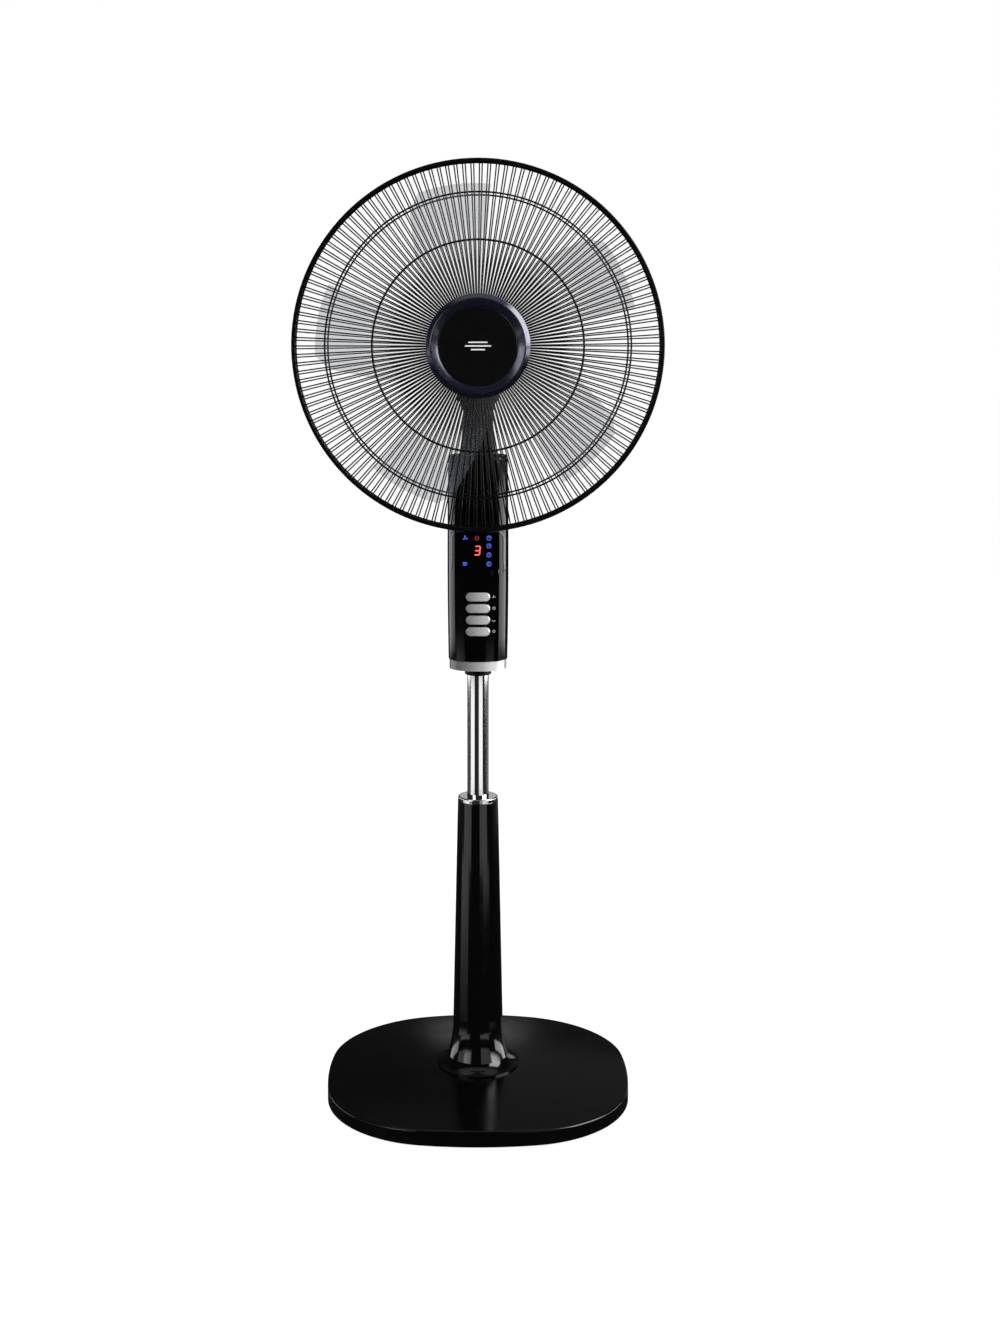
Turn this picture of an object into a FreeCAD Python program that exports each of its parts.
"""Pedestal fan, 16 inch, on a round-cornered base, with a telescopic pole and a swinging head.

Millimetres. The origin is on the floor under the middle of the base, +Z is up and the fan blows
towards -Y. Head pieces are drawn about the motor's axis: x to the right, y up and z forwards.
"""
import FreeCAD, Part
import math
import os
import re
import Sketcher
from FreeCAD import Placement, Rotation, Vector

SIZES = {
    # base
    "base_width": 378, "base_depth": 357, "base_front_radius": 450, "base_side_radius": 475,
    "base_corner_radius": 140, "base_rim_bottom": 3, "base_rim_top": 21, "base_top": 32,
    "base_dome_radius": 1600, "base_wall": 3.5, "base_seat": 31, "base_seat_radius": 52.5,
    "base_edge_radius": 2, "ballast_half_width": 99, "ballast_half_depth": 93,
    "ballast_corner": 27, "ballast_bottom": 6, "ballast_clearance": 1.5,
    "foot_radius": 12, "foot_spread_x": 118, "foot_spread_y": 112, "foot_height": 4,
    # column
    "tube_radius": 21, "tube_bore": 19, "tube_top": 367, "flange_radius": 40,
    "flange_thickness": 4, "bolt_circle": 33, "bolt_radius": 3, "bolt_head_radius": 5.5,
    "cover_foot_radius": 51.6, "cover_waist_radius": 31.2, "cover_waist_height": 92,
    "cover_knee_radius": 38, "cover_knee_height": 43, "cover_top_radius": 25.3,
    "cover_wall": 2, "cover_top": 368, "flare_radius": 24, "skirt_radius": 150,
    "collar_radius": 24.9, "collar_height": 5.5, "collar_edge": 1.5,
    "bush_bottom": 315, "bush_bore": 13.56, "lock_height": 344, "lock_reach": 27,
    "knob_radius": 18, "knob_length": 17, "screw_radius": 4,
    # pole and its socket
    "pole_radius": 13.5, "pole_bore": 11.7, "pole_bottom": 196, "pole_top": 592,
    "stop_radius": 18.9, "stop_height": 22, "socket_bottom": 527.6,
    "socket_lip_radius": 16.7, "socket_radius": 20, "socket_top": 598,
    # control housing
    "band_bottom": 537, "band_top": 548.7, "band_inset": 1.2, "housing_bottom": 549,
    "housing_top": 803, "housing_half_width": 36.75, "housing_side_radius": 6450,
    "housing_front": 36, "housing_back": 34, "housing_corner": 30, "housing_edge": 4,
    "housing_wall": 2.4, "neck_slot_half_width": 24.4, "neck_slot_half_depth": 23.5,
    "window_half_width": 31.5, "window_foot_half_width": 32.8, "window_bottom": 662.5,
    "window_depth": 25, "window_top": 709.5, "window_corner": 9, "bezel_width": 1.9,
    "bezel_proud": 0.6,
    "board_front": 22.5, "board_thickness": 1.6, "board_half_width": 28, "board_bottom": 574,
    "board_top": 726, "display_half_width": 21, "display_bottom": 667, "display_top": 705,
    "display_front": 29, "button_half_length": 9.45, "button_radius": 5.5,
    "button_front": 38, "button_edge": 1.6, "button_low": 586.7, "button_pitch": 14.3,
    "button_gap": 0.35,
    "button_flange": 1.3, "flange_drop": 2.2, "button_travel": 1.2, "switch_height": 2,
    "switch_half_width": 3,
    "post_x": 25, "post_height": 579, "post_outer_radius": 4.6, "post_depth": 20,
    "case_screw_radius": 1.5, "case_screw_head": 3, "gland_height": 566, "gland_radius": 8,
    "capacitor_half_width": 14, "capacitor_bottom": 650, "capacitor_top": 676,
    "capacitor_front": -8,
    # tilt joint and neck
    "tilt_height": 788, "barrel_radius": 21, "barrel_half_length": 23, "ear_gap": 23.4,
    "ear_thickness": 4, "ear_half_depth": 13, "ear_top": 796, "fork_floor": 610,
    "neck_low_half_width": 23.75,
    "neck_high_half_width": 18.6, "neck_half_depth": 16, "neck_shoulder_half_width": 21.2,
    "neck_shoulder_height": 862, "neck_top": 869, "neck_boss_radius": 11, "neck_boss_top": 874.4,
    # swing joint and its drive
    "post_radius": 5, "post_bottom": 836, "post_top": 889, "arm_bottom": 874.6,
    "arm_thickness": 2.8, "arm_reach": 14, "arm_end": 4.5, "pin_radius": 1.5,
    "link_bottom": 878.6, "link_thickness": 2.6, "link_half_width": 2, "link_eye": 4.7,
    "link_eye_wall": 1.3, "link_eye_offset": 2.86, "link_crank_end": 4, "crank_x": 7,
    "crank_y": 58, "crank_reach": 9, "crank_bottom": 883, "crank_thickness": 2.8,
    "crank_radius": 13.5, "crank_shaft": 2.5, "swing_motor_bottom": 888,
    "swing_motor_radius": 19, "swing_motor_height": 15, "bracket_bottom": 882.2,
    "bracket_radius": 9, "bracket_flange": 887, "bracket_flange_radius": 18,
    "swing_bush_bore": 5.06, "swing_bush_radius": 6.6, "running_gap": 0.06,
    # motor
    "head_height": 938, "motor_radius": 46, "bell_front": 36, "bell_rear": -36, "bell_wall": 2,
    "stator_radius": 43.5, "stator_bore": 22.5, "stator_half_length": 15,
    "winding_radius": 38, "winding_bore": 26, "winding_overhang": 12, "rotor_radius": 22.1,
    "rotor_half_length": 15, "shaft_radius": 4, "shaft_rear": -38, "shaft_front": 128,
    "bearing_radius": 9, "bearing_half_length": 5, "bearing_place": 31, "bearing_bore": 4.06,
    "case_radius": 62, "case_wall": 2.2, "case_front": 30, "case_rear": -92,
    "case_shoulder": 26, "gearbox_half_width": 26, "gearbox_bottom": 870, "gearbox_front": 20,
    "gearbox_back": 84, "gearbox_hole": 12, "plate_front": 39, "plate_boss_radius": 28,
    "plate_boss_front": 55, "nut_radius": 45, "nut_length": 9,
    # guards
    "wire_count": 134, "wire_radius": 0.8, "ring_wire_radius": 1.1, "rim_wire_radius": 1.6,
    "rim_wire_centre": 216.8, "rear_rim_place": 93.5, "front_rim_place": 108.5,
    "belly_bend": 160, "knee_bend": 18,
    "rear_wire_start": 50, "rear_plate_radius": 60, "rear_plate_bore": 28.6,
    "rear_plate_place": 39.3, "rear_plate_thickness": 1.2, "rear_knee_radius": 196,
    "rear_knee_place": 70, "rear_belly_radius": 140, "rear_belly_place": 46.5,
    "rear_ring_inner": 128.8, "rear_ring_outer": 181, "front_wire_start": 47,
    "front_plate_place": 160, "front_plate_radius": 57, "front_plate_thickness": 1.2,
    "front_belly_radius": 150, "front_belly_place": 153, "front_knee_radius": 203,
    "front_knee_place": 134, "front_ring_inner": 122.6, "front_ring_outer": 178,
    "rim_outer": 220, "rim_inner": 216, "rim_wall": 1.5, "rim_rear": 89, "rim_front": 113,
    # badge
    "badge_radius": 60.2, "badge_dome_radius": 55, "badge_disc_radius": 45.6,
    "badge_back": 161.6, "badge_rim": 164.6, "badge_crest": 168.5, "badge_dish": 164.8,
    # blade
    "blade_count": 5, "blade_tip_radius": 191.8, "hub_radius": 36, "hub_rear": 72,
    "hub_front": 112, "hub_wall": 3, "blade_thickness": 2.2, "blade_middle": 98,
    "blade_camber": 4, "blade_root_pitch": 31, "blade_tip_pitch": 14, "blade_lean": -7.3,
    "blade_half_chord": 62, "drive_pin_place": 76,
    "drive_pin_half_length": 12, "drive_pin_radius": 1.5, "spinner_radius": 17,
    "spinner_front": 134,
}
# One blade seen from the front, pointing up: the corners of its outline as x, y and radius.
BLADE_CORNERS = ((3, 30, 1), (15.4, 195.8, 3), (-62, 195.8, 14), (-80, 158, 26), (-72, 90, 90),
                 (-46, 24, 6))
# How far from the axis the blade's sections are drawn.
BLADE_STATIONS = (12, 60, 110, 160, 215)
UP = Rotation()
FORWARDS = Rotation(Vector(1, 0, 0), 90)
HEAD = ("0", "0", "head_height")

DOC = FreeCAD.newDocument("pedestal_fan")
SHEET = DOC.addObject("Spreadsheet::Sheet", "dims")
NODES = []


def fill_sheet():
    """Writes each driving size into the spreadsheet under its own name."""
    for row, (name, size) in enumerate(SIZES.items(), 1):
        SHEET.set(f"A{row}", name)
        SHEET.set(f"B{row}", str(size))
        SHEET.setAlias(f"B{row}", name)
    DOC.recompute()


def bound(text):
    """The expression with every sheet name written as dims.name."""
    return re.sub(r"[a-z]\w*", lambda word: named(word.group()), text)


def named(word):
    return "dims." + word if word in SIZES else word


def value(text):
    """What an expression over the sheet is worth now."""
    return float(SHEET.evalExpression(bound(text)))


# --- drawing helpers -------------------------------------------------------------------------

def place(piece, at=("0", "0", "0"), turn=UP):
    """Puts a piece at a point given as expressions, turned as asked."""
    piece.Placement = Placement(Vector(*[value(text) for text in at]), turn)
    for axis, text in zip("xyz", at):
        piece.setExpression("Placement.Base." + axis, bound(text))


def new_body(label, at=("0", "0", "0"), turn=UP):
    """An empty body; it counts as a sub-part once keep() has listed it."""
    body = DOC.addObject("PartDesign::Body", label)
    body.Label = label
    place(body, at, turn)
    return body


def keep(piece):
    """Lists a finished piece as a sub-part of the fan."""
    NODES.append(piece)
    return piece


def sketch(body, plane="XY_Plane", lift="0"):
    """A sketch on one of the body's own origin planes, moved along its normal."""
    origin = [item for item in body.Origin.OriginFeatures if item.Role == plane][0]
    drawing = body.newObject("Sketcher::SketchObject", body.Label + "_sketch")
    drawing.AttachmentSupport = [(origin, "")]
    drawing.MapMode = "FlatFace"
    drawing.setExpression("AttachmentOffset.Base.z", bound(lift))
    return drawing


def pin_point(drawing, edge, end, x, y):
    """Fixes one end of an edge at two expressions."""
    for kind, text in (("DistanceX", x), ("DistanceY", y)):
        index = drawing.addConstraint(Sketcher.Constraint(kind, -1, 1, edge, end, value(text)))
        drawing.setExpression(f"Constraints[{index}]", bound(text))


def arc_between(start, finish, radius):
    """The short arc from start to finish; a negative radius turns clockwise."""
    middle = (start + finish) * 0.5
    half = (finish - start) * 0.5
    side = Vector(-half.y, half.x, 0).normalize()
    reach = math.sqrt(radius * radius - half.Length ** 2)
    centre = middle + side * math.copysign(reach, radius)
    first, last = (start, finish) if radius > 0 else (finish, start)
    angles = [math.atan2(point.y - centre.y, point.x - centre.x) for point in (first, last)]
    circle = Part.Circle(centre, Vector(0, 0, 1), abs(radius))
    return Part.ArcOfCircle(circle, angles[0], angles[1])


def outline(drawing, corners):
    """A closed outline through (x, y) corners; (x, y, radius) bends the edge that follows."""
    points = [Vector(value(corner[0]), value(corner[1]), 0) for corner in corners]
    ends = []
    for corner, start, finish in zip(corners, points, points[1:] + points[:1]):
        if len(corner) == 2:
            edge = drawing.addGeometry(Part.LineSegment(start, finish), False)
            ends.append((edge, 1, 2))
            continue
        radius = value(corner[2])
        edge = drawing.addGeometry(arc_between(start, finish, radius), False)
        ends.append((edge, 1, 2) if radius > 0 else (edge, 2, 1))
        index = drawing.addConstraint(Sketcher.Constraint("Radius", edge, abs(radius)))
        drawing.setExpression(f"Constraints[{index}]", "abs(" + bound(corner[2]) + ")")
    for (edge, _, last), (after, first, _) in zip(ends, ends[1:] + ends[:1]):
        drawing.addConstraint(Sketcher.Constraint("Coincident", edge, last, after, first))
    for corner, (edge, first, _) in zip(corners, ends):
        pin_point(drawing, edge, first, corner[0], corner[1])


def box_outline(drawing, left, right, low, high):
    outline(drawing, [(left, low), (right, low), (right, high), (left, high)])


def disc(drawing, x, y, radius):
    """A circle at two expressions."""
    circle = Part.Circle(Vector(value(x), value(y), 0), Vector(0, 0, 1), value(radius))
    edge = drawing.addGeometry(circle, False)
    index = drawing.addConstraint(Sketcher.Constraint("Radius", edge, value(radius)))
    drawing.setExpression(f"Constraints[{index}]", bound(radius))
    pin_point(drawing, edge, 3, x, y)


def pill(drawing, x, y, half_length, radius):
    """A lying slot shape round a centre."""
    outline(drawing, [
        (f"{x} - ({half_length})", f"{y} - ({radius})"),
        (f"{x} + {half_length}", f"{y} - ({radius})", f"({radius}) * 1.0001"),
        (f"{x} + {half_length}", f"{y} + {radius}"),
        (f"{x} - ({half_length})", f"{y} + {radius}", f"({radius}) * 1.0001")])


def hexagon(drawing, x, y, radius):
    corners = []
    for step in range(6):
        turn = math.radians(60 * step)
        corners.append((f"{x} + ({radius}) * {math.cos(turn):.4f}",
                        f"{y} + ({radius}) * {math.sin(turn):.4f}"))
    outline(drawing, corners)


def pad(body, drawing, length, side="One side", back=False):
    """Adds a prism over a sketch; back sends it against the sketch's normal."""
    feature = body.newObject("PartDesign::Pad", body.Label + "_pad")
    feature.Profile = drawing
    feature.SideType = side
    feature.Reversed = back
    feature.setExpression("Length", bound(length))
    return feature


def pocket(body, drawing, length, side="One side", back=False):
    """Cuts a prism under a sketch and checks that it removed something."""
    DOC.recompute()
    before = body.Shape.Volume
    feature = body.newObject("PartDesign::Pocket", body.Label + "_pocket")
    feature.Profile = drawing
    feature.SideType = side
    feature.Reversed = back
    feature.setExpression("Length", bound(length))
    DOC.recompute()
    if body.Shape.Volume >= before - 1e-6:
        raise RuntimeError(body.Label + ": a pocket cuts nothing")
    return feature


def revolve(body, drawing):
    """Turns a sketch once round its own vertical axis."""
    feature = body.newObject("PartDesign::Revolution", body.Label + "_turned")
    feature.Profile = drawing
    feature.ReferenceAxis = (drawing, ["V_Axis"])
    feature.Angle = 360
    return feature


def groove(body, drawing):
    """Cuts a ring by turning a sketch round its own vertical axis."""
    DOC.recompute()
    before = body.Shape.Volume
    feature = body.newObject("PartDesign::Groove", body.Label + "_groove")
    feature.Profile = drawing
    feature.ReferenceAxis = (drawing, ["V_Axis"])
    feature.Angle = 360
    DOC.recompute()
    if body.Shape.Volume >= before - 1e-6:
        raise RuntimeError(body.Label + ": a groove cuts nothing")
    return feature


def repeat_round(body, features, count, drawing):
    """Repeats features evenly round the sketch's normal."""
    pattern = body.newObject("PartDesign::PolarPattern", body.Label + "_ring")
    pattern.Originals = features
    pattern.Axis = (drawing, ["N_Axis"])
    pattern.Angle = 360
    pattern.Occurrences = count
    body.Tip = pattern
    return pattern


def round_edges(body, radius, chosen):
    """Fillets the edges of the body's tip that a test picks."""
    DOC.recompute()
    tip = body.Tip
    names = [f"Edge{index}" for index, edge in enumerate(tip.Shape.Edges, 1) if chosen(edge)]
    feature = body.newObject("PartDesign::Fillet", body.Label + "_rounding")
    feature.Base = (tip, names)
    feature.setExpression("Radius", bound(radius))
    return feature


def turned(label, corners, at=("0", "0", "0"), turn=UP):
    """A body turned round its local z from an outline of (radius, height) corners."""
    body = new_body(label, at, turn)
    drawing = sketch(body, "XZ_Plane")
    outline(drawing, corners)
    revolve(body, drawing)
    return body


def ring_profile(inner, outer, low, high):
    """The outline of a plain ring with a square section."""
    return [(inner, low), (outer, low), (outer, high), (inner, high)]


def combined(kind, label, base, tools):
    """A Part boolean of two finished pieces."""
    piece = DOC.addObject("Part::" + kind, label)
    piece.Label = label
    piece.Base = base
    piece.Tool = tools
    return piece


# --- base ------------------------------------------------------------------------------------

def corner_centre(inset):
    """Where the corner arc's centre lies, and the two points where it meets its neighbours."""
    front = value(f"base_front_radius - {inset}")
    side = value(f"base_side_radius - {inset}")
    corner = value(f"base_corner_radius - {inset}")
    front_centre = Vector(0, value(f"base_depth / 2 - {inset}") - front, 0)
    side_centre = Vector(value(f"base_width / 2 - {inset}") - side, 0, 0)
    reach_front, reach_side = front - corner, side - corner
    line = side_centre - front_centre
    span = line.Length
    along = (reach_front ** 2 - reach_side ** 2 + span ** 2) / (2 * span)
    across = math.sqrt(reach_front ** 2 - along ** 2)
    unit = line.normalize()
    centre = front_centre + unit * along + Vector(unit.y, -unit.x, 0) * across
    meets = []
    for origin, radius in ((front_centre, front), (side_centre, side)):
        meets.append(origin + (centre - origin).normalize() * radius)
    return meets


def base_outline(drawing, inset):
    """The base's outline: four long arcs joined by four round corners, drawn inside by inset."""
    front, side = corner_centre(inset)
    long_x, long_y = f"base_front_radius - {inset}", f"base_side_radius - {inset}"
    corner = f"base_corner_radius - {inset}"
    outline(drawing, [
        (f"{-front.x:.6f}", f"{-front.y:.6f}", long_x),
        (f"{front.x:.6f}", f"{-front.y:.6f}", corner),
        (f"{side.x:.6f}", f"{-side.y:.6f}", long_y),
        (f"{side.x:.6f}", f"{side.y:.6f}", corner),
        (f"{front.x:.6f}", f"{front.y:.6f}", long_x),
        (f"{-front.x:.6f}", f"{front.y:.6f}", corner),
        (f"{-side.x:.6f}", f"{side.y:.6f}", long_y),
        (f"{-side.x:.6f}", f"{-side.y:.6f}", corner)])


def base_shell():
    """Moulded shell: upright rim, gently domed top, flat seat for the column, hollow below."""
    body = new_body("base_shell")
    rim = sketch(body, lift="base_rim_bottom")
    base_outline(rim, "0")
    pad(body, rim, "base_top + 6 - base_rim_bottom")
    dome = sketch(body, "XZ_Plane")
    drop = "base_top - base_dome_radius + sqrt(base_dome_radius^2 - (base_width * 0.6)^2)"
    outline(dome, [("0", "base_seat"), ("base_seat_radius", "base_seat"),
                   ("base_seat_radius + 3", "base_top - 1", "-base_dome_radius"),
                   ("base_width * 0.6", drop), ("base_width * 0.6", "base_top + 8"),
                   ("0", "base_top + 8")])
    groove(body, dome)
    round_edges(body, "base_edge_radius", is_base_top_edge)
    hollow = sketch(body, lift="base_rim_bottom")
    base_outline(hollow, "base_wall")
    pocket(body, hollow, "base_rim_top - base_wall - base_rim_bottom - ballast_clearance",
           back=True)
    bosses = sketch(body, lift="foot_height")
    four_feet(bosses, "foot_radius")
    pad(body, bosses, "base_rim_top - base_wall - foot_height")
    holes = sketch(body, lift="base_rim_bottom")
    disc(holes, "bolt_circle", "0", "bolt_radius + 0.3")
    drilled = pocket(body, holes, "base_top", back=True)
    repeat_round(body, [drilled], 4, holes)
    return keep(body)


def is_base_top_edge(edge):
    """True for the outer edge where the rim meets the dome."""
    box = edge.BoundBox
    reach = max(abs(box.XMin), abs(box.XMax), abs(box.YMin), abs(box.YMax))
    return reach > SIZES["base_depth"] * 0.3 and box.ZMin > SIZES["base_rim_bottom"] + 5


def four_feet(drawing, radius):
    for x in ("foot_spread_x", "-foot_spread_x"):
        for y in ("foot_spread_y", "-foot_spread_y"):
            disc(drawing, x, y, radius)


def rubber_feet():
    """Four pads under the shell's bosses."""
    body = new_body("rubber_feet")
    soles = sketch(body)
    four_feet(soles, "foot_radius - 1")
    pad(body, soles, "foot_height")
    return keep(body)


def ballast_plate():
    """Cast weight clamped under the middle of the shell by the column's bolts."""
    body = new_body("ballast_plate")
    drawing = sketch(body, lift="ballast_bottom")
    box_outline(drawing, "-ballast_half_width", "ballast_half_width", "-ballast_half_depth",
                "ballast_half_depth")
    pad(body, drawing, "base_rim_top - base_wall - ballast_clearance - ballast_bottom")
    round_edges(body, "ballast_corner", is_upright)
    holes = sketch(body, lift="ballast_bottom")
    disc(holes, "bolt_circle", "0", "bolt_radius + 0.3")
    drilled = pocket(body, holes, "base_rim_top", back=True)
    repeat_round(body, [drilled], 4, holes)
    return keep(body)


def is_upright(edge):
    """True for a straight edge along z."""
    box = edge.BoundBox
    return box.XLength < 1e-6 and box.YLength < 1e-6 and box.ZLength > 1


def column_bolts():
    """Four bolts that clamp ballast, shell and column flange together from below."""
    body = new_body("column_bolts")
    head = sketch(body, lift="ballast_bottom - 2")
    disc(head, "bolt_circle", "0", "bolt_head_radius")
    heads = pad(body, head, "2")
    shank = sketch(body, lift="ballast_bottom - 2")
    disc(shank, "bolt_circle", "0", "bolt_radius")
    shanks = pad(body, shank, "base_seat + flange_thickness + 1 - ballast_bottom")
    repeat_round(body, [heads, shanks], 4, head)
    return keep(body)


# --- column ----------------------------------------------------------------------------------

def outer_tube():
    """Steel tube with a welded foot flange; the lock screw passes through it at the back."""
    body = turned("outer_tube", [
        ("tube_bore", "base_seat"), ("flange_radius", "base_seat"),
        ("flange_radius", "base_seat + flange_thickness"),
        ("tube_radius", "base_seat + flange_thickness"), ("tube_radius", "tube_top"),
        ("tube_bore", "tube_top")])
    holes = sketch(body, lift="base_seat - 1")
    disc(holes, "bolt_circle", "0", "bolt_radius")
    drilled = pocket(body, holes, "flange_thickness + 2", back=True)
    repeat_round(body, [drilled], 4, holes)
    lock_hole(body)
    return keep(body)


def lock_hole(body):
    """A hole along +y for the lock screw."""
    DOC.recompute()
    drawing = sketch(body, "XZ_Plane")
    disc(drawing, "0", "lock_height", "screw_radius + 0.1")
    pocket(body, drawing, "cover_foot_radius")


def column_cover():
    """Glossy tapered cover with a flared foot that hides the flange and its bolts."""
    body = turned("column_cover", [
        ("cover_foot_radius - cover_wall", "base_seat"), ("cover_foot_radius", "base_seat"),
        ("cover_foot_radius", "base_seat + 1.8", "-flare_radius"),
        ("cover_knee_radius", "cover_knee_height", "-skirt_radius"),
        ("cover_waist_radius", "cover_waist_height"), ("cover_top_radius", "cover_top"),
        ("tube_radius + 0.3", "cover_top"), ("tube_radius + 0.3", "cover_top - 60"),
        ("cover_waist_radius - cover_wall - 1", "cover_waist_height"),
        ("cover_knee_radius - cover_wall", "cover_knee_height - 1", "flare_radius + 4")])
    lock_hole(body)
    return keep(body)


def column_collar():
    """Chrome ring that caps the column round the pole."""
    return keep(turned("column_collar", [
        ("pole_radius + 0.4", "cover_top"), ("collar_radius", "cover_top"),
        ("collar_radius", "cover_top + collar_height - collar_edge", "collar_edge * 1.0001"),
        ("collar_radius - collar_edge", "cover_top + collar_height"),
        ("pole_radius + 0.4", "cover_top + collar_height")]))


def guide_bush():
    """Plastic bush in the tube's mouth that the pole slides through."""
    body = turned("guide_bush", ring_profile("bush_bore", "tube_bore", "bush_bottom", "tube_top"))
    lock_hole(body)
    return keep(body)


def lock_knob():
    """Scalloped hand knob at the back of the column."""
    body = new_body("lock_knob", ("0", "lock_reach", "lock_height"), Rotation(Vector(1, 0, 0), -90))
    drawing = sketch(body)
    disc(drawing, "0", "0", "knob_radius")
    pad(body, drawing, "knob_length")
    scallop = sketch(body)
    disc(scallop, "knob_radius * 1.25", "0", "knob_radius * 0.42")
    cut = pocket(body, scallop, "knob_length", back=True)
    repeat_round(body, [cut], 6, scallop)
    bore = sketch(body)
    disc(bore, "0", "0", "screw_radius")
    pocket(body, bore, "knob_length * 0.6", back=True)
    return keep(body)


def lock_screw():
    """Screw moulded into the knob; its tip stops just short of the pole."""
    reach = "lock_reach + knob_length * 0.6"
    return keep(turned("lock_screw", [
        ("0", "pole_radius + 0.15"), ("screw_radius - 1", "pole_radius + 0.15"),
        ("screw_radius", "pole_radius + 1.15"), ("screw_radius", reach), ("0", reach)],
        ("0", "0", "lock_height"), Rotation(Vector(1, 0, 0), -90)))


# --- pole and control housing ----------------------------------------------------------------

def inner_pole():
    """Chrome tube that slides in the column and carries everything above."""
    return keep(turned("inner_pole", ring_profile("pole_bore", "pole_radius", "pole_bottom",
                                                  "pole_top")))


def pole_stop():
    """Plastic foot of the pole, which guides it in the tube and stops it below the bush."""
    return keep(turned("pole_stop", [
        ("0", "pole_bottom - 4"), ("stop_radius", "pole_bottom - 4"),
        ("stop_radius", "pole_bottom + stop_height - 4"),
        ("pole_radius", "pole_bottom + stop_height - 4"), ("pole_radius", "pole_bottom"),
        ("0", "pole_bottom")]))


def pole_socket():
    """Black socket that grips the top of the pole, with its lip below the housing."""
    return keep(turned("pole_socket", [
        ("pole_radius", "socket_bottom"), ("socket_lip_radius - 1", "socket_bottom"),
        ("socket_lip_radius", "socket_bottom + 1"), ("socket_lip_radius", "band_top + 0.3"),
        ("socket_radius", "band_top + 0.3"), ("socket_radius", "socket_top"),
        ("0", "socket_top"), ("0", "pole_top"), ("pole_radius", "pole_top")]))


def support_fork():
    """Fork on the socket whose two ears hold the tilt bolt."""
    body = new_body("support_fork")
    front = sketch(body, "XZ_Plane")
    outer, inner = "ear_gap + ear_thickness", "ear_gap"
    outline(front, [(f"-({outer})", "socket_top"), (outer, "socket_top"),
                    (outer, "ear_top"), (inner, "ear_top"),
                    (inner, "fork_floor"), ("-ear_gap", "fork_floor"),
                    ("-ear_gap", "ear_top"),
                    (f"-({outer})", "ear_top")])
    pad(body, front, "ear_half_depth * 2", "Symmetric")
    hole = sketch(body, "YZ_Plane")
    disc(hole, "0", "tilt_height", "screw_radius")
    pocket(body, hole, "ear_gap * 3", "Symmetric")
    return keep(body)


def housing_blank(label, inset):
    """A solid of the housing's outer shape, drawn inside by inset."""
    body = new_body(label)
    drawing = sketch(body, "XZ_Plane", f"housing_front - {inset}")
    side = f"housing_half_width - {inset}"
    low, high = f"housing_bottom + {inset}", f"housing_top - {inset}"
    outline(drawing, [(f"-({side})", low), (side, low, "housing_side_radius"),
                      (side, high), (f"-({side})", high, "housing_side_radius")])
    pad(body, drawing, f"housing_front + housing_back - 2 * {inset}", back=True)
    round_edges(body, f"housing_corner - {inset}", is_long_edge)
    round_edges(body, f"housing_edge - {inset}", is_housing_top_edge)
    return body


def is_long_edge(edge):
    return edge.BoundBox.ZLength > 100


def is_housing_top_edge(edge):
    box = edge.BoundBox
    return box.ZLength < 1e-3 and box.ZMin > SIZES["housing_top"] - 10


def prism(label, draw, front, depth):
    """A prism along y whose outline a function draws on the xz plane."""
    body = new_body(label)
    drawing = sketch(body, "XZ_Plane", front)
    draw(drawing)
    pad(body, drawing, depth, back=True)
    return body


def window_outline(drawing, grow):
    """An arch with round shoulders and sides that flare out towards its foot."""
    side, foot = f"window_half_width + {grow}", f"window_foot_half_width + {grow}"
    low, high = "window_bottom", f"window_top + {grow}"
    corner = f"window_corner + {grow}"
    outline(drawing, [
        (f"-({foot})", low), (foot, low, "-60"), (side, f"{low} + 12"),
        (side, f"{high} - ({corner})", f"({corner}) * 1.0001"), (f"{side} - ({corner})", high),
        (f"-({side} - ({corner}))", high, f"({corner}) * 1.0001"),
        (f"-({side})", f"{high} - ({corner})"), (f"-({side})", f"{low} + 12", "-60")])


def button_heights():
    return [f"button_low + {step} * button_pitch" for step in range(4)]


def button_slots(drawing):
    for height in button_heights():
        pill(drawing, "0", height, "button_half_length + button_gap / 2",
             "button_radius + button_gap")


def neck_slot():
    """The opening in the housing's roof that the neck leans through."""
    body = new_body("neck_slot")
    drawing = sketch(body, lift="housing_top - 12")
    box_outline(drawing, "-neck_slot_half_width", "neck_slot_half_width",
                "-neck_slot_half_depth", "neck_slot_half_depth")
    pad(body, drawing, "24")
    return body


def socket_hole():
    body = new_body("socket_hole")
    drawing = sketch(body, lift="housing_bottom - 2")
    disc(drawing, "0", "0", "socket_radius + 0.2")
    pad(body, drawing, "8")
    return body


def gland_hole():
    body = new_body("gland_hole")
    drawing = sketch(body, "XZ_Plane")
    disc(drawing, "0", "gland_height", "gland_radius")
    pad(body, drawing, "housing_back + 10", back=True)
    return body


def two_posts(label, radius, front, depth):
    """Two round prisms along y where the housing's screws are."""
    def circles(drawing):
        disc(drawing, "-post_x", "post_height", radius)
        disc(drawing, "post_x", "post_height", radius)
    return prism(label, circles, front, depth)


def half_space(label, front):
    """A block over the front or the back half of the housing."""
    body = new_body(label)
    drawing = sketch(body, "XZ_Plane")
    box_outline(drawing, "-housing_half_width * 2", "housing_half_width * 2",
                "housing_bottom - 10", "housing_top + 10")
    pad(body, drawing, "housing_front * 2", back=not front)
    return body


def joined(label, pieces):
    piece = DOC.addObject("Part::MultiFuse", label)
    piece.Label = label
    piece.Shapes = pieces
    return piece


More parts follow.
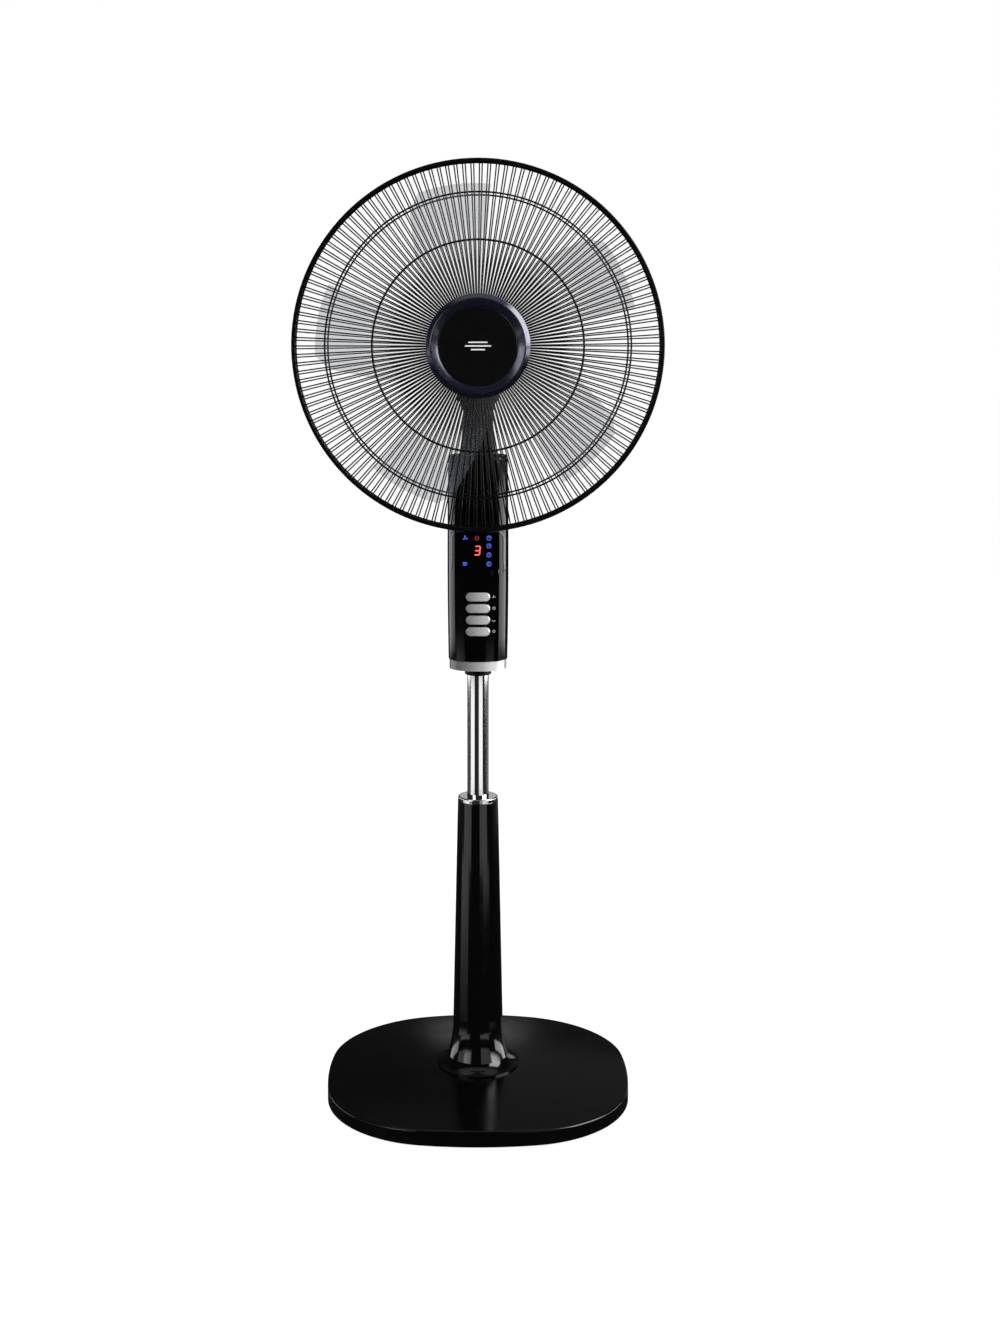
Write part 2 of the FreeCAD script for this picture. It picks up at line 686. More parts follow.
def control_housing():
    """Front and rear shells, the smoked window and the bright bezel that stands round it."""
    outer = housing_blank("housing_outer", "0")
    inner = housing_blank("housing_inner", "housing_wall")
    hollow = combined("Cut", "housing_hollow", outer, inner)
    glass = prism("window_prism", lambda drawing: window_outline(drawing, "0"),
                  "housing_front + 5", "window_depth")
    frame = prism("bezel_prism", lambda drawing: window_outline(drawing, "bezel_width"),
                  "housing_front + 5", "window_depth")
    slots = prism("button_prism", button_slots, "housing_front + 5", "20")
    front_posts = two_posts("front_posts", "post_outer_radius", "post_depth", "post_depth")
    threads = two_posts("front_threads", "case_screw_radius", "post_depth - 4", "post_depth")
    openings = joined("front_openings", [frame, slots, neck_slot(), socket_hole(), threads])
    front = combined("Common", "front_half", hollow, half_space("front_space", True))
    front = joined("front_with_posts", [front, front_posts])
    keep(combined("Cut", "housing_front_shell", front, openings))
    rear_posts = two_posts("rear_posts", "post_outer_radius", "0", "post_depth + 3")
    bores = two_posts("rear_bores", "case_screw_radius + 0.2", "0", "post_depth + 3")
    sinks = two_posts("rear_sinks", "case_screw_head + 0.2", "-post_depth", "post_depth")
    rear = combined("Common", "rear_half", hollow, half_space("rear_space", False))
    rear = joined("rear_with_posts", [rear, rear_posts])
    rear_openings = joined("rear_openings", [neck_slot(), socket_hole(), gland_hole(), bores,
                                             sinks])
    keep(combined("Cut", "housing_rear_shell", rear, rear_openings))
    keep(combined("Common", "display_window", hollow, glass))
    proud = combined("Cut", "proud_hollow", housing_blank("housing_proud", "-bezel_proud"), inner)
    arch = combined("Cut", "bezel_arch", frame, glass)
    keep(combined("Common", "display_bezel", proud, arch))


def trim_band():
    """Silver band that closes the housing's foot round the socket."""
    body = new_body("trim_band")
    drawing = sketch(body, lift="band_bottom")
    side = "housing_half_width - band_inset"
    box_outline(drawing, f"-({side})", side, "-(housing_front - band_inset)",
                "housing_back - band_inset")
    pad(body, drawing, "band_top - band_bottom")
    round_edges(body, "housing_corner - band_inset", is_upright)
    hole = sketch(body, lift="band_bottom")
    disc(hole, "0", "0", "socket_lip_radius")
    pocket(body, hole, "band_top", back=True)
    return keep(body)


def control_board():
    """Circuit board behind the window and the buttons."""
    body = new_body("control_board")
    drawing = sketch(body, "XZ_Plane", "board_front - board_thickness")
    box_outline(drawing, "-board_half_width", "board_half_width", "board_bottom", "board_top")
    pad(body, drawing, "board_thickness")
    return keep(body)


def display_module():
    """Light-tight block of the digit and symbol lamps."""
    body = new_body("display_module")
    drawing = sketch(body, "XZ_Plane", "board_front")
    box_outline(drawing, "-display_half_width", "display_half_width", "display_bottom",
                "display_top")
    pad(body, drawing, "display_front - board_front")
    return keep(body)


def tact_switches():
    """One small switch on the board behind each button."""
    body = new_body("tact_switches")
    drawing = sketch(body, "XZ_Plane", "board_front")
    for height in button_heights():
        box_outline(drawing, "-switch_half_width", "switch_half_width",
                    f"{height} - switch_half_width", f"{height} + switch_half_width")
    pad(body, drawing, "switch_height")
    return keep(body)


def push_button(label, height):
    """Silver button with a flange that keeps it in and a stem down to its switch."""
    body = new_body(label, ("0", "0", height))
    back = "housing_front - housing_wall - flange_drop"
    cap = sketch(body, "XZ_Plane", back)
    pill(cap, "0", "0", "button_half_length", "button_radius")
    pad(body, cap, f"button_front - ({back})")
    round_edges(body, "button_edge", is_button_face_edge)
    flange = sketch(body, "XZ_Plane", back)
    pill(flange, "0", "0", "button_half_length", "button_radius + button_flange")
    pad(body, flange, "1.2", back=True)
    stem = sketch(body, "XZ_Plane", back + " - 0.5")
    disc(stem, "0", "0", "2.2")
    pad(body, stem, back + " - 0.9 - board_front - switch_height - button_travel", back=True)
    return keep(body)


def is_button_face_edge(edge):
    box = edge.BoundBox
    return box.YLength < 1e-3 and box.YMax < -SIZES["button_front"] + 0.1


def run_capacitor():
    """Motor capacitor clipped inside the rear shell."""
    body = new_body("run_capacitor")
    drawing = sketch(body, "XZ_Plane", "capacitor_front")
    box_outline(drawing, "-capacitor_half_width", "capacitor_half_width", "capacitor_bottom",
                "capacitor_top")
    pad(body, drawing, "housing_back - housing_wall - 1.5 + capacitor_front", back=True)
    round_edges(body, "3", lambda edge: edge.BoundBox.YLength > 5)
    return keep(body)


def cord_gland():
    """Bushing in the rear shell where the power cord goes in."""
    return keep(turned("cord_gland", [
        ("4", "housing_back - housing_wall"), ("gland_radius", "housing_back - housing_wall"),
        ("gland_radius", "housing_back"), ("gland_radius + 2", "housing_back"),
        ("gland_radius + 1", "housing_back + 4"), ("6", "housing_back + 12"),
        ("4", "housing_back + 12")],
        ("0", "0", "gland_height"), Rotation(Vector(1, 0, 0), -90)))


def housing_screws():
    """Two screws from the back that hold the shells together."""
    body = new_body("housing_screws")
    for x in ("-post_x", "post_x"):
        shank = sketch(body, "XZ_Plane", "post_depth - 6")
        disc(shank, x, "post_height", "case_screw_radius")
        pad(body, shank, "post_depth * 2 - 6", back=True)
        head = sketch(body, "XZ_Plane", "-post_depth")
        disc(head, x, "post_height", "case_screw_head")
        pad(body, head, "2", back=True)
    return keep(body)


# --- tilt joint, neck and swing drive --------------------------------------------------------

def tilt_bolt():
    """Bolt across the fork that the neck tilts on."""
    return keep(turned("tilt_bolt", [
        ("0", "-ear_gap - ear_thickness - 4"), ("7", "-ear_gap - ear_thickness - 4"),
        ("7", "-ear_gap - ear_thickness"), ("screw_radius", "-ear_gap - ear_thickness"),
        ("screw_radius", "ear_gap + ear_thickness + 5"), ("0", "ear_gap + ear_thickness + 5")],
        ("0", "0", "tilt_height"), Rotation(Vector(0, 1, 0), 90)))


def tilt_nut():
    """Lock nut of the tilt bolt."""
    body = new_body("tilt_nut", ("ear_gap + ear_thickness", "0", "tilt_height"),
                    Rotation(Vector(0, 1, 0), 90))
    drawing = sketch(body)
    hexagon(drawing, "0", "0", "7.4")
    disc(drawing, "0", "0", "screw_radius")
    pad(body, drawing, "4.6")
    return keep(body)


def neck():
    """Neck with a barrel round the tilt bolt and a socket for the swing post."""
    body = new_body("neck")
    front = sketch(body, "XZ_Plane")
    low, high = "neck_low_half_width", "neck_high_half_width"
    outline(front, [
        (f"-{low}", "tilt_height + 13"), (low, "tilt_height + 13", "-320"),
        (high, "neck_shoulder_height"), (f"-{high}", "neck_shoulder_height", "-320")])
    pad(body, front, "neck_half_depth * 2", "Symmetric")
    round_edges(body, "9", lambda edge: edge.BoundBox.ZLength > 10)
    shoulder = sketch(body, lift="neck_shoulder_height - 3")
    box_outline(shoulder, "-neck_shoulder_half_width", "neck_shoulder_half_width",
                "-neck_half_depth - 2", "neck_half_depth + 2")
    pad(body, shoulder, "neck_top - neck_shoulder_height + 3")
    round_edges(body, "11", is_upright)
    barrel = sketch(body, "YZ_Plane")
    disc(barrel, "0", "tilt_height", "barrel_radius")
    pad(body, barrel, "barrel_half_length * 2", "Symmetric")
    boss = sketch(body, lift="neck_top - 2")
    disc(boss, "0", "0", "neck_boss_radius")
    pad(body, boss, "neck_boss_top - neck_top + 2")
    bore = sketch(body, lift="neck_boss_top + 1")
    disc(bore, "0", "0", "post_radius")
    pocket(body, bore, "neck_boss_top + 1 - post_bottom")
    bolt = sketch(body, "YZ_Plane")
    disc(bolt, "0", "tilt_height", "screw_radius + running_gap")
    pocket(body, bolt, "barrel_half_length * 3", "Symmetric")
    return keep(body)


def swing_post():
    """Steel post in the neck with the fixed arm that the link pulls on."""
    body = turned("swing_post", [("0", "post_bottom"), ("post_radius", "post_bottom"),
                                 ("post_radius", "post_top"), ("0", "post_top")])
    plate = sketch(body, lift="arm_bottom")
    outline(plate, [
        ("0", "-post_radius - 2"), ("arm_reach", "-arm_end", "arm_end * 1.001"),
        ("arm_reach", "arm_end"), ("0", "post_radius + 2", "(post_radius + 2) * 1.001")])
    pad(body, plate, "arm_thickness")
    pin = sketch(body, lift="arm_bottom")
    disc(pin, "arm_reach", "0", "pin_radius")
    pad(body, pin, "link_bottom + link_thickness + 1 - arm_bottom")
    return keep(body)


def swing_bracket():
    """Bracket under the motor that carries the head on the post."""
    return keep(turned("swing_bracket", [
        ("swing_bush_radius", "bracket_bottom"), ("bracket_radius", "bracket_bottom"),
        ("bracket_radius", "bracket_flange"), ("bracket_flange_radius", "bracket_flange"),
        ("bracket_flange_radius", "head_height - motor_radius"),
        ("swing_bush_radius", "head_height - motor_radius")]))


def swing_bush():
    """Sleeve between the bracket and the post."""
    return keep(turned("swing_bush", ring_profile(
        "swing_bush_bore", "swing_bush_radius", "bracket_bottom", "head_height - motor_radius")))


def swing_motor():
    """Small synchronous motor that turns the crank."""
    return keep(turned("swing_motor", ring_profile(
        "crank_shaft + running_gap", "swing_motor_radius", "0", "swing_motor_height"),
        ("crank_x", "crank_y", "swing_motor_bottom")))


def swing_crank():
    """Crank disc on the swing motor's shaft, with the pin that carries the link."""
    body = turned("swing_crank", [
        ("0", "0"), ("crank_radius", "0"), ("crank_radius", "crank_thickness"),
        ("crank_shaft", "crank_thickness"),
        ("crank_shaft", "swing_motor_bottom - crank_bottom + 8"),
        ("0", "swing_motor_bottom - crank_bottom + 8")], ("crank_x", "crank_y", "crank_bottom"))
    pin = sketch(body)
    disc(pin, "crank_reach", "0", "pin_radius")
    pad(body, pin, "crank_bottom - link_bottom + 0.6", back=True)
    return keep(body)


def swing_link():
    """Link from the crank's pin to the fixed arm; its eye there has the clearance."""
    body = new_body("swing_link", ("0", "0", "link_bottom"))
    bar = sketch(body)
    start, finish = "crank_x + crank_reach", "arm_reach + link_eye_offset"
    outline(bar, [
        (f"{finish} - link_half_width", "0"), (f"{finish} + link_half_width", "0"),
        (f"{start} + link_half_width", "crank_y"), (f"{start} - link_half_width", "crank_y")])
    pad(body, bar, "link_thickness")
    near = sketch(body)
    disc(near, start, "crank_y", "link_crank_end")
    pad(body, near, "link_thickness")
    far = sketch(body)
    disc(far, finish, "0", "link_eye + link_eye_wall")
    pad(body, far, "link_thickness")
    holes = sketch(body)
    disc(holes, start, "crank_y", "pin_radius + running_gap")
    disc(holes, finish, "0", "link_eye")
    pocket(body, holes, "link_thickness * 2", back=True)
    return keep(body)


# --- motor -----------------------------------------------------------------------------------

def motor_bell(label, end, face):
    """One cup of the motor's frame; end is its closed face, face its open rim."""
    sign = "1" if value(end) > 0 else "-1"
    floor = f"{end} - {sign} * bell_wall"
    seat = f"{sign} * (bearing_place - bearing_half_length)"
    corners = [
        ("motor_radius", face), ("motor_radius", f"{end} - {sign} * 8"), ("motor_radius - 8", end),
        ("bearing_radius", end), ("bearing_radius", seat), ("bearing_radius + 2", seat),
        ("bearing_radius + 2", floor), ("motor_radius - 9", floor),
        ("motor_radius - bell_wall", f"{end} - {sign} * 9"), ("motor_radius - bell_wall", face)]
    return keep(turned(label, corners, HEAD, FORWARDS))


def shaft_bearings():
    """Two sleeve bearings, one in each bell."""
    body = new_body("shaft_bearings", HEAD, FORWARDS)
    for sign in ("1", "-1"):
        drawing = sketch(body, "XZ_Plane")
        box_outline(drawing, "bearing_bore", "bearing_radius",
                    f"{sign} * bearing_place - bearing_half_length",
                    f"{sign} * bearing_place + bearing_half_length")
        revolve(body, drawing)
    return keep(body)


def stator_core():
    """Laminated stack gripped between the bells."""
    return keep(turned("stator_core", ring_profile(
        "stator_bore", "stator_radius", "-stator_half_length", "stator_half_length"),
        HEAD, FORWARDS))


def stator_windings():
    """Copper overhang on both faces of the stack."""
    body = new_body("stator_windings", HEAD, FORWARDS)
    for sign in ("1", "-1"):
        near, far = "stator_half_length", "stator_half_length + winding_overhang"
        low, high = (near, far) if sign == "1" else (f"-({far})", f"-({near})")
        drawing = sketch(body, "XZ_Plane")
        box_outline(drawing, "winding_bore", "winding_radius", low, high)
        revolve(body, drawing)
    round_edges(body, "3", lambda edge: True)
    return keep(body)


def rotor():
    """Squirrel-cage rotor pressed on the shaft."""
    return keep(turned("rotor", ring_profile(
        "shaft_radius", "rotor_radius", "-rotor_half_length", "rotor_half_length"),
        HEAD, FORWARDS))


def motor_shaft():
    """Shaft through rotor, bearings and blade hub, with a hole for the drive pin."""
    body = turned("motor_shaft", [
        ("0", "shaft_rear"), ("shaft_radius", "shaft_rear"), ("shaft_radius", "shaft_front"),
        ("0", "shaft_front")], HEAD, FORWARDS)
    hole = sketch(body, "YZ_Plane")
    disc(hole, "0", "drive_pin_place", "drive_pin_radius")
    pocket(body, hole, "shaft_radius * 4", "Symmetric")
    return keep(body)


def drive_pin():
    """Cross pin that turns the hub with the shaft."""
    body = new_body("drive_pin", HEAD, FORWARDS)
    drawing = sketch(body, "YZ_Plane")
    disc(drawing, "0", "drive_pin_place", "drive_pin_radius")
    pad(body, drawing, "drive_pin_half_length * 2", "Symmetric")
    return keep(body)


def motor_case():
    """Rear cover: a round bonnet over the motor with the swing gearbox below it."""
    outer = turned("case_bonnet", [
        ("0", "case_rear"), ("case_radius - case_shoulder", "case_rear", "case_shoulder * 1.05"),
        ("case_radius", "case_rear + case_shoulder"), ("case_radius", "case_front"),
        ("0", "case_front")], HEAD, FORWARDS)
    inner = turned("case_hollow", [
        ("0", "case_rear + case_wall"),
        ("case_radius - case_shoulder", "case_rear + case_wall",
         "(case_shoulder - case_wall) * 1.05"),
        ("case_radius - case_wall", "case_rear + case_shoulder"),
        ("case_radius - case_wall", "case_front + 5"), ("0", "case_front + 5")], HEAD, FORWARDS)
    skin = joined("case_skin", [outer, gearbox_block("gearbox_outer", "0")])
    void = joined("case_void", [inner, gearbox_block("gearbox_inner", "case_wall"),
                                gearbox_mouth(), case_vents()])
    keep(combined("Cut", "motor_rear_cover", skin, void))


def gearbox_block(label, inset):
    """A round-cornered box below the bonnet, drawn inside by inset."""
    body = new_body(label)
    drawing = sketch(body, lift=f"gearbox_bottom + {inset}")
    box_outline(drawing, f"-(gearbox_half_width - {inset})", f"gearbox_half_width - {inset}",
                f"-(gearbox_front - {inset})", f"gearbox_back - {inset}")
    pad(body, drawing, "head_height - gearbox_bottom - 30")
    round_edges(body, f"10 - {inset}", is_upright)
    return body


def gearbox_mouth():
    """Hole in the gearbox floor round the neck's boss."""
    body = new_body("gearbox_mouth")
    drawing = sketch(body, lift="gearbox_bottom - 1")
    disc(drawing, "0", "0", "gearbox_hole")
    pad(body, drawing, "5")
    return body


def case_vents():
    """Rows of cooling slots in the bonnet's back."""
    body = new_body("case_vents", HEAD, FORWARDS)
    drawing = sketch(body, lift="case_rear - 1")
    for step in range(-3, 4):
        pill(drawing, "0", f"{step} * 7", "24", "1.5")
    pad(body, drawing, "case_wall + 2")
    return body


def motor_front_cover():
    """Disc in front of the motor, with the threaded boss that takes the guard nut."""
    return keep(turned("motor_front_cover", [
        ("shaft_radius + 2", "bell_front + 0.4"), ("motor_radius", "bell_front + 0.4"),
        ("motor_radius + 4", "case_front"), ("case_radius", "case_front"),
        ("case_radius", "case_front + 3"), ("case_radius - 6", "plate_front"),
        ("plate_boss_radius", "plate_front"), ("plate_boss_radius", "plate_boss_front"),
        ("plate_boss_radius - 3", "plate_boss_front"), ("plate_boss_radius - 3", "plate_front + 2"),
        ("shaft_radius + 2", "plate_front + 2")], HEAD, FORWARDS))


def guard_nut():
    """Ribbed ring nut that clamps the rear guard on the boss."""
    low = "rear_plate_place + rear_plate_thickness"
    body = new_body("guard_nut", HEAD, FORWARDS)
    drawing = sketch(body, lift=low)
    disc(drawing, "0", "0", "nut_radius")
    disc(drawing, "0", "0", "plate_boss_radius")
    pad(body, drawing, "nut_length")
    notch = sketch(body, lift=low)
    disc(notch, "nut_radius + 1.5", "0", "3")
    cut = pocket(body, notch, "nut_length * 2", back=True)
    repeat_round(body, [cut], 18, notch)
    return keep(body)


# --- guards ----------------------------------------------------------------------------------

def tangent_path(points):
    """A wire of straight runs joined by arcs, from (radius, place, bend radius) points."""
    spots = [Vector(radius, 0, position) for radius, position, _ in points]
    edges, start = [], spots[0]
    for before, corner, after, (_, _, bend) in zip(spots, spots[1:], spots[2:], points[1:]):
        back, ahead = (before - corner).normalize(), (after - corner).normalize()
        cut = bend / math.tan(back.getAngle(ahead) / 2)
        first, last = corner + back * cut, corner + ahead * cut
        inward = (back + ahead).normalize()
        middle = corner + inward * (math.hypot(cut, bend) - bend)
        edges.append(Part.LineSegment(start, first).toShape())
        edges.append(Part.Arc(first, middle, last).toShape())
        start = last
    edges.append(Part.LineSegment(start, spots[-1]).toShape())
    return Part.Wire(edges)


def bent_wire(path):
    """One round guard wire along a path."""
    start = path.Edges[0]
    nose = start.Vertexes[0].Point
    ahead = start.tangentAt(start.FirstParameter)
    section = Part.Wire(Part.Circle(nose, ahead, value("wire_radius")).toShape())
    return path.makePipeShell([section], True, True)


def wire_fan(label, path, offset):
    """All the radial wires of one guard as separate solids, the first turned by offset."""
    wire = bent_wire(path)
    count = SIZES["wire_count"]
    copies = []
    for step in range(count):
        copy = wire.copy()
        copy.rotate(Vector(), Vector(0, 0, 1), (step + offset) * 360 / count)
        copies.append(copy)
    piece = DOC.addObject("Part::Feature", label)
    piece.Label = label
    piece.Shape = Part.makeCompound(copies)
    place(piece, HEAD, FORWARDS)
    return keep(piece)


def rear_guard_wires():
    """Rear basket: wires out from the plate, round the knee and forward to the rim ring."""
    plate = value("rear_plate_place + rear_plate_thickness + wire_radius")
    path = tangent_path([
        (value("rear_wire_start"), plate, 0),
        (value("rear_belly_radius"), value("rear_belly_place"), value("belly_bend")),
        (value("rear_knee_radius"), value("rear_knee_place"), value("knee_bend")),
        (value("rim_wire_centre - rim_wire_radius"), value("rear_rim_place"), 0)])
    return wire_fan("rear_guard_wires", path, 1 / 3)


def front_guard_wires():
    """Front grille: wires out from under the badge, over the shoulder and back to the rim ring."""
    path = tangent_path([
        (value("front_wire_start"), value("front_plate_place - wire_radius"), 0),
        (value("front_belly_radius"), value("front_belly_place"), value("belly_bend")),
        (value("front_knee_radius"), value("front_knee_place"), value("knee_bend")),
        (value("rim_wire_centre - rim_wire_radius"), value("front_rim_place"), 0)])
    return wire_fan("front_guard_wires", path, 0)


def place_on(points, radius):
    """Where along the axis a guard's wire is at a given radius."""
    for (near, low), (far, high) in zip(points, points[1:]):
        if near <= radius <= far:
            return low + (high - low) * (radius - near) / (far - near)
    raise ValueError("the ring lies off the wires")


def hoop(label, radius, position, thickness):
    """A round wire ring about the motor's axis."""
    ring = DOC.addObject("Part::Torus", label)
    ring.Label = label
    ring.setExpression("Radius1", bound(radius))
    ring.setExpression("Radius2", bound(thickness))
    place(ring, ("0", f"-({position})", "head_height"), FORWARDS)
    return ring


def guard_rings(label, rings):
    """The welded rings of one guard as one group of separate solids."""
    group = DOC.addObject("Part::Compound", label)
    group.Label = label
    group.Links = rings
    return keep(group)


def rear_guard_rings():
    """Two hoops behind the rear wires and the ring at the rim."""
    line = [(SIZES["rear_wire_start"], value("rear_plate_place + rear_plate_thickness")),
            (SIZES["rear_belly_radius"], SIZES["rear_belly_place"]),
            (SIZES["rear_knee_radius"], SIZES["rear_knee_place"])]
    hoops = []
    for name in ("rear_ring_inner", "rear_ring_outer"):
        lift = place_on(line, SIZES[name]) - SIZES["wire_radius"] - SIZES["ring_wire_radius"]
        hoops.append(hoop(name + "_hoop", name, f"{lift:.4f}", "ring_wire_radius"))
    hoops.append(hoop("rear_rim_hoop", "rim_wire_centre", "rear_rim_place", "rim_wire_radius"))
    return guard_rings("rear_guard_rings", hoops)


def front_guard_rings():
    """Two hoops behind the front wires and the ring at the rim."""
    line = [(SIZES["front_wire_start"], SIZES["front_plate_place"]),
            (SIZES["front_belly_radius"], SIZES["front_belly_place"]),
            (SIZES["front_knee_radius"], SIZES["front_knee_place"])]
    hoops = []
    for name in ("front_ring_inner", "front_ring_outer"):
        lift = place_on(line, SIZES[name]) - SIZES["wire_radius"] - SIZES["ring_wire_radius"] - 1
        hoops.append(hoop(name + "_hoop", name, f"{lift:.4f}", "ring_wire_radius"))
    hoops.append(hoop("front_rim_hoop", "rim_wire_centre", "front_rim_place", "rim_wire_radius"))
    return guard_rings("front_guard_rings", hoops)


def rear_guard_plate():
    """Steel disc that the rear wires are welded to, clamped by the guard nut."""
    return keep(turned("rear_guard_plate", ring_profile(
        "rear_plate_bore", "rear_plate_radius", "rear_plate_place",
        "rear_plate_place + rear_plate_thickness"), HEAD, FORWARDS))


def front_guard_plate():
    """Steel disc that the front wires are welded to, behind the badge."""
    return keep(turned("front_guard_plate", [
        ("0", "front_plate_place"), ("front_plate_radius", "front_plate_place"),
        ("front_plate_radius", "front_plate_place + front_plate_thickness"),
        ("0", "front_plate_place + front_plate_thickness")], HEAD, FORWARDS))


def guard_rim():
    """Black channel band that holds both rim rings together."""
    return keep(turned("guard_rim", [
        ("rim_inner", "rim_rear"), ("rim_outer - 1", "rim_rear"), ("rim_outer", "rim_rear + 1"),
        ("rim_outer", "rim_front - 1"), ("rim_outer - 1", "rim_front"), ("rim_inner", "rim_front"),
        ("rim_inner", "rim_front - rim_wall"), ("rim_outer - rim_wall", "rim_front - rim_wall"),
        ("rim_outer - rim_wall", "rim_rear + rim_wall"), ("rim_inner", "rim_rear + rim_wall")],
        HEAD, FORWARDS))


def badge_ring():
    """Glossy dished ring in the middle of the front guard."""
    return keep(turned("badge_ring", [
        ("0", "badge_back"), ("badge_radius", "badge_back"), ("badge_radius", "badge_rim - 1"),
        ("badge_radius - 1.2", "badge_rim"), ("badge_dome_radius + 1", "badge_crest - 1", "3"),
        ("badge_dome_radius - 1.5", "badge_crest", "40"), ("badge_disc_radius", "badge_dish"),
        ("0", "badge_dish")], HEAD, FORWARDS))


def badge_disc():
    """Flat black disc in the middle of the badge."""
    return keep(turned("badge_disc", [
        ("0", "badge_dish"), ("badge_disc_radius - 0.4", "badge_dish"),
        ("badge_disc_radius - 0.4", "badge_dish + 1.2"),
        ("badge_disc_radius - 1", "badge_dish + 1.6"), ("0", "badge_dish + 1.6")],
        HEAD, FORWARDS))


# --- blade -----------------------------------------------------------------------------------

def blade_section(reach):
    """A thin cambered section of the blade in the plane that is reach from the axis."""
    share = reach / value("blade_tip_radius")
    root, tip = value("blade_root_pitch"), value("blade_tip_pitch")
    pitch = root + (tip - root) * share
    slope = math.tan(math.radians(pitch))
    half, middle = value("blade_half_chord"), value("blade_middle")
    thickness, camber = value("blade_thickness"), value("blade_camber")

    def spot(across, lift):
        return Vector(across, reach, middle - across * slope + lift)
    lower = Part.Arc(spot(-half, 0), spot(0, camber), spot(half, 0)).toShape()
    upper = Part.Arc(spot(-half, thickness), spot(0, camber + thickness),
                     spot(half, thickness)).toShape()
    left = Part.LineSegment(spot(-half, thickness), spot(-half, 0)).toShape()
    right = Part.LineSegment(spot(half, 0), spot(half, thickness)).toShape()
    return Part.Wire([lower, right, upper, left])


def rounded_face(corners):
    """A face whose (x, y, radius) corners are rounded by arcs."""
    spots = [Vector(x, y, 0) for x, y, _ in corners]
    edges, joints = [], []
    for index, (_, _, radius) in enumerate(corners):
        corner = spots[index]
        back = (spots[index - 1] - corner).normalize()
        ahead = (spots[(index + 1) % len(spots)] - corner).normalize()
        cut = radius / math.tan(back.getAngle(ahead) / 2)
        inward = (back + ahead).normalize()
        middle = corner + inward * (math.hypot(cut, radius) - radius)
        joints.append((corner + back * cut, middle, corner + ahead * cut))
    for (_, _, leave), (first, middle, last) in zip([joints[-1]] + joints[:-1], joints):
        edges.append(Part.LineSegment(leave, first).toShape())
        edges.append(Part.Arc(first, middle, last).toShape())
    return Part.Face(Part.Wire(edges))


def single_blade():
    """One blade: a twisted, cambered sheet trimmed to its front outline."""
    sheet = Part.makeLoft([blade_section(reach) for reach in BLADE_STATIONS], True, False)
    sheet.rotate(Vector(), Vector(0, 0, 1), -value("blade_lean"))
    depth = value("shaft_front + 50")
    trim = rounded_face(BLADE_CORNERS).extrude(Vector(0, 0, depth))
    return sheet.common(trim).common(Part.makeCylinder(value("blade_tip_radius"), depth))


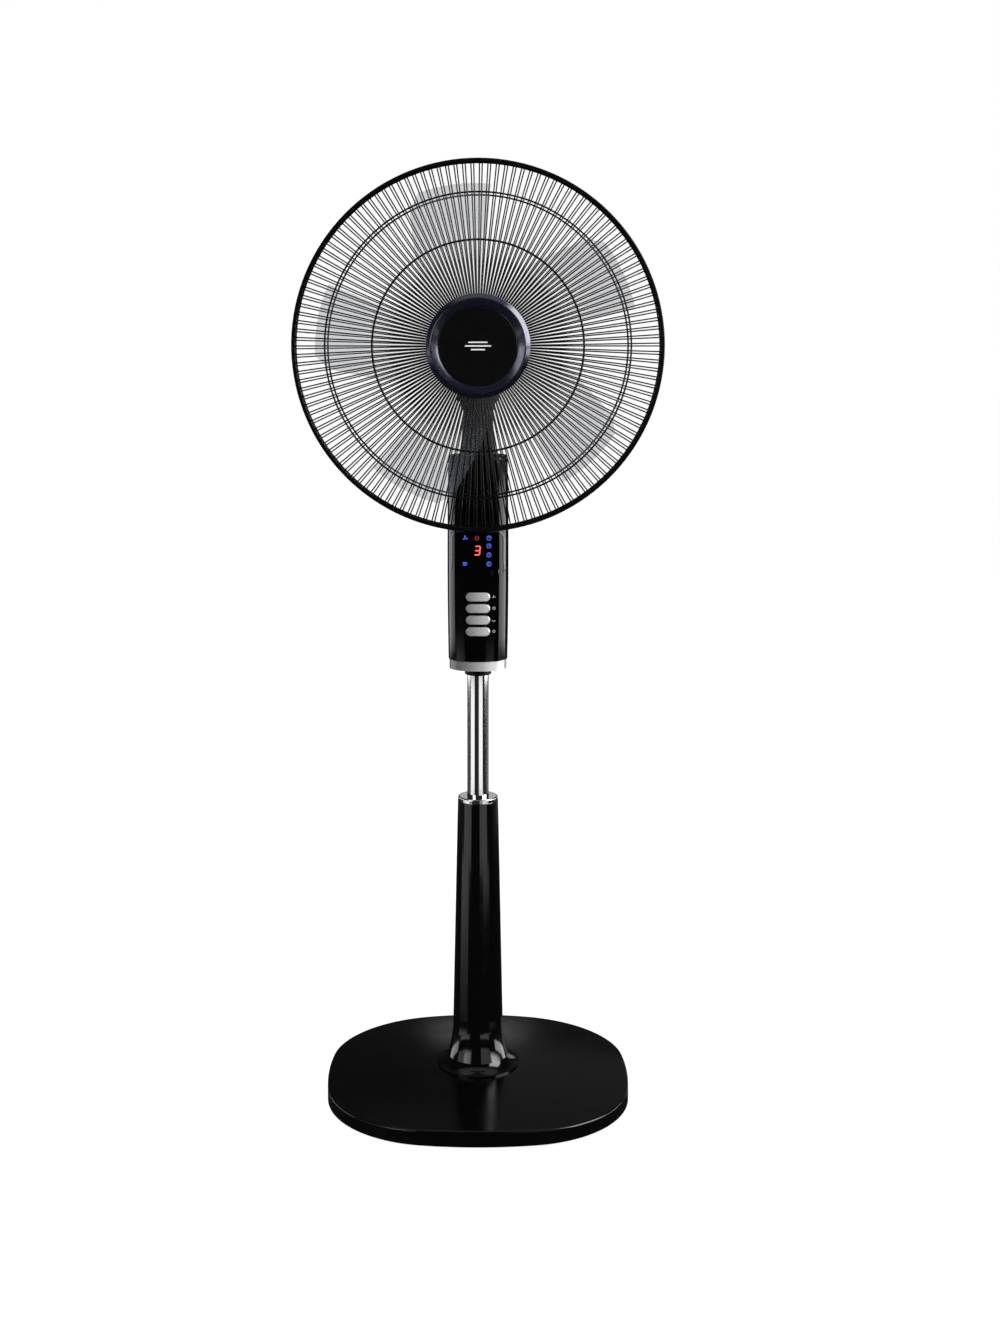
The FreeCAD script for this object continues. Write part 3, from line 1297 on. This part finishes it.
def fan_blade():
    """Moulded translucent impeller: a cup-shaped hub and its swept blades."""
    hub = turned("blade_hub", [
        ("shaft_radius", "hub_rear + 4"), ("11", "hub_rear + 4"), ("11", "hub_front - hub_wall"),
        ("hub_radius - hub_wall", "hub_front - hub_wall - 4"),
        ("hub_radius - hub_wall", "hub_rear"), ("hub_radius", "hub_rear"),
        ("hub_radius", "hub_front - 8", "8.001"), ("hub_radius - 8", "hub_front"),
        ("shaft_radius", "hub_front")])
    cross = sketch(hub, "YZ_Plane")
    disc(cross, "0", "drive_pin_place", "drive_pin_radius")
    pocket(hub, cross, "24", "Symmetric")
    DOC.recompute()
    blade = single_blade().cut(Part.makeCylinder(value("hub_radius - 1"), 200))
    blades = []
    for step in range(SIZES["blade_count"]):
        copy = blade.copy()
        copy.rotate(Vector(), Vector(0, 0, 1), -step * 360 / SIZES["blade_count"])
        blades.append(copy)
    piece = DOC.addObject("Part::Feature", "fan_blade")
    piece.Label = "fan_blade"
    piece.Shape = hub.Shape.multiFuse(blades).Solids[0]
    place(piece, HEAD, FORWARDS)
    return keep(piece)


def blade_nut():
    """Spinner nut that holds the blade on the shaft."""
    return keep(turned("blade_nut", [
        ("shaft_radius", "hub_front"), ("spinner_radius", "hub_front"),
        ("spinner_radius - 1", "hub_front + 12"), ("spinner_radius - 6", "spinner_front - 1"),
        ("0", "spinner_front"), ("0", "shaft_front"), ("shaft_radius", "shaft_front")],
        HEAD, FORWARDS))


# --- everything ------------------------------------------------------------------------------

def build():
    """Makes every sub-part."""
    fill_sheet()
    for make in (base_shell, rubber_feet, ballast_plate, column_bolts, outer_tube, column_cover,
                 column_collar, guide_bush, lock_knob, lock_screw, inner_pole, pole_stop,
                 pole_socket, support_fork, control_housing, trim_band, control_board,
                 display_module, tact_switches, run_capacitor, cord_gland, housing_screws,
                 tilt_bolt, tilt_nut, neck, swing_post, swing_bracket, swing_bush, swing_motor,
                 swing_crank, swing_link, shaft_bearings, stator_core, stator_windings, rotor,
                 motor_shaft, drive_pin, motor_case, motor_front_cover, guard_nut,
                 rear_guard_wires, rear_guard_rings, rear_guard_plate, front_guard_wires,
                 front_guard_rings, front_guard_plate, guard_rim, badge_ring, badge_disc,
                 fan_blade, blade_nut):
        make()
    names = ("power_button", "swing_button", "timer_button", "speed_button")
    for label, height in zip(names, button_heights()):
        push_button(label, height)
    motor_bell("motor_front_bell", "bell_front", "0")
    motor_bell("motor_rear_bell", "bell_rear", "0")


def check():
    """Stops before anything is written if an object failed or a piece is not a valid solid."""
    DOC.recompute()
    for item in DOC.Objects:
        if "Invalid" in item.State or "Error" in item.State:
            raise RuntimeError(item.Label + " failed: " + str(item.State))
    for piece in NODES:
        if piece.Shape.isNull() or not piece.Shape.isValid() or not piece.Shape.Solids:
            raise RuntimeError(piece.Label + " is not a valid solid")


def write():
    """Writes each sub-part to its own STEP file."""
    os.makedirs("parts", exist_ok=True)
    for piece in NODES:
        piece.Shape.exportStep(f"parts/{piece.Label}.step")
    print(len(NODES), "sub-parts written")


build()
check()
write()
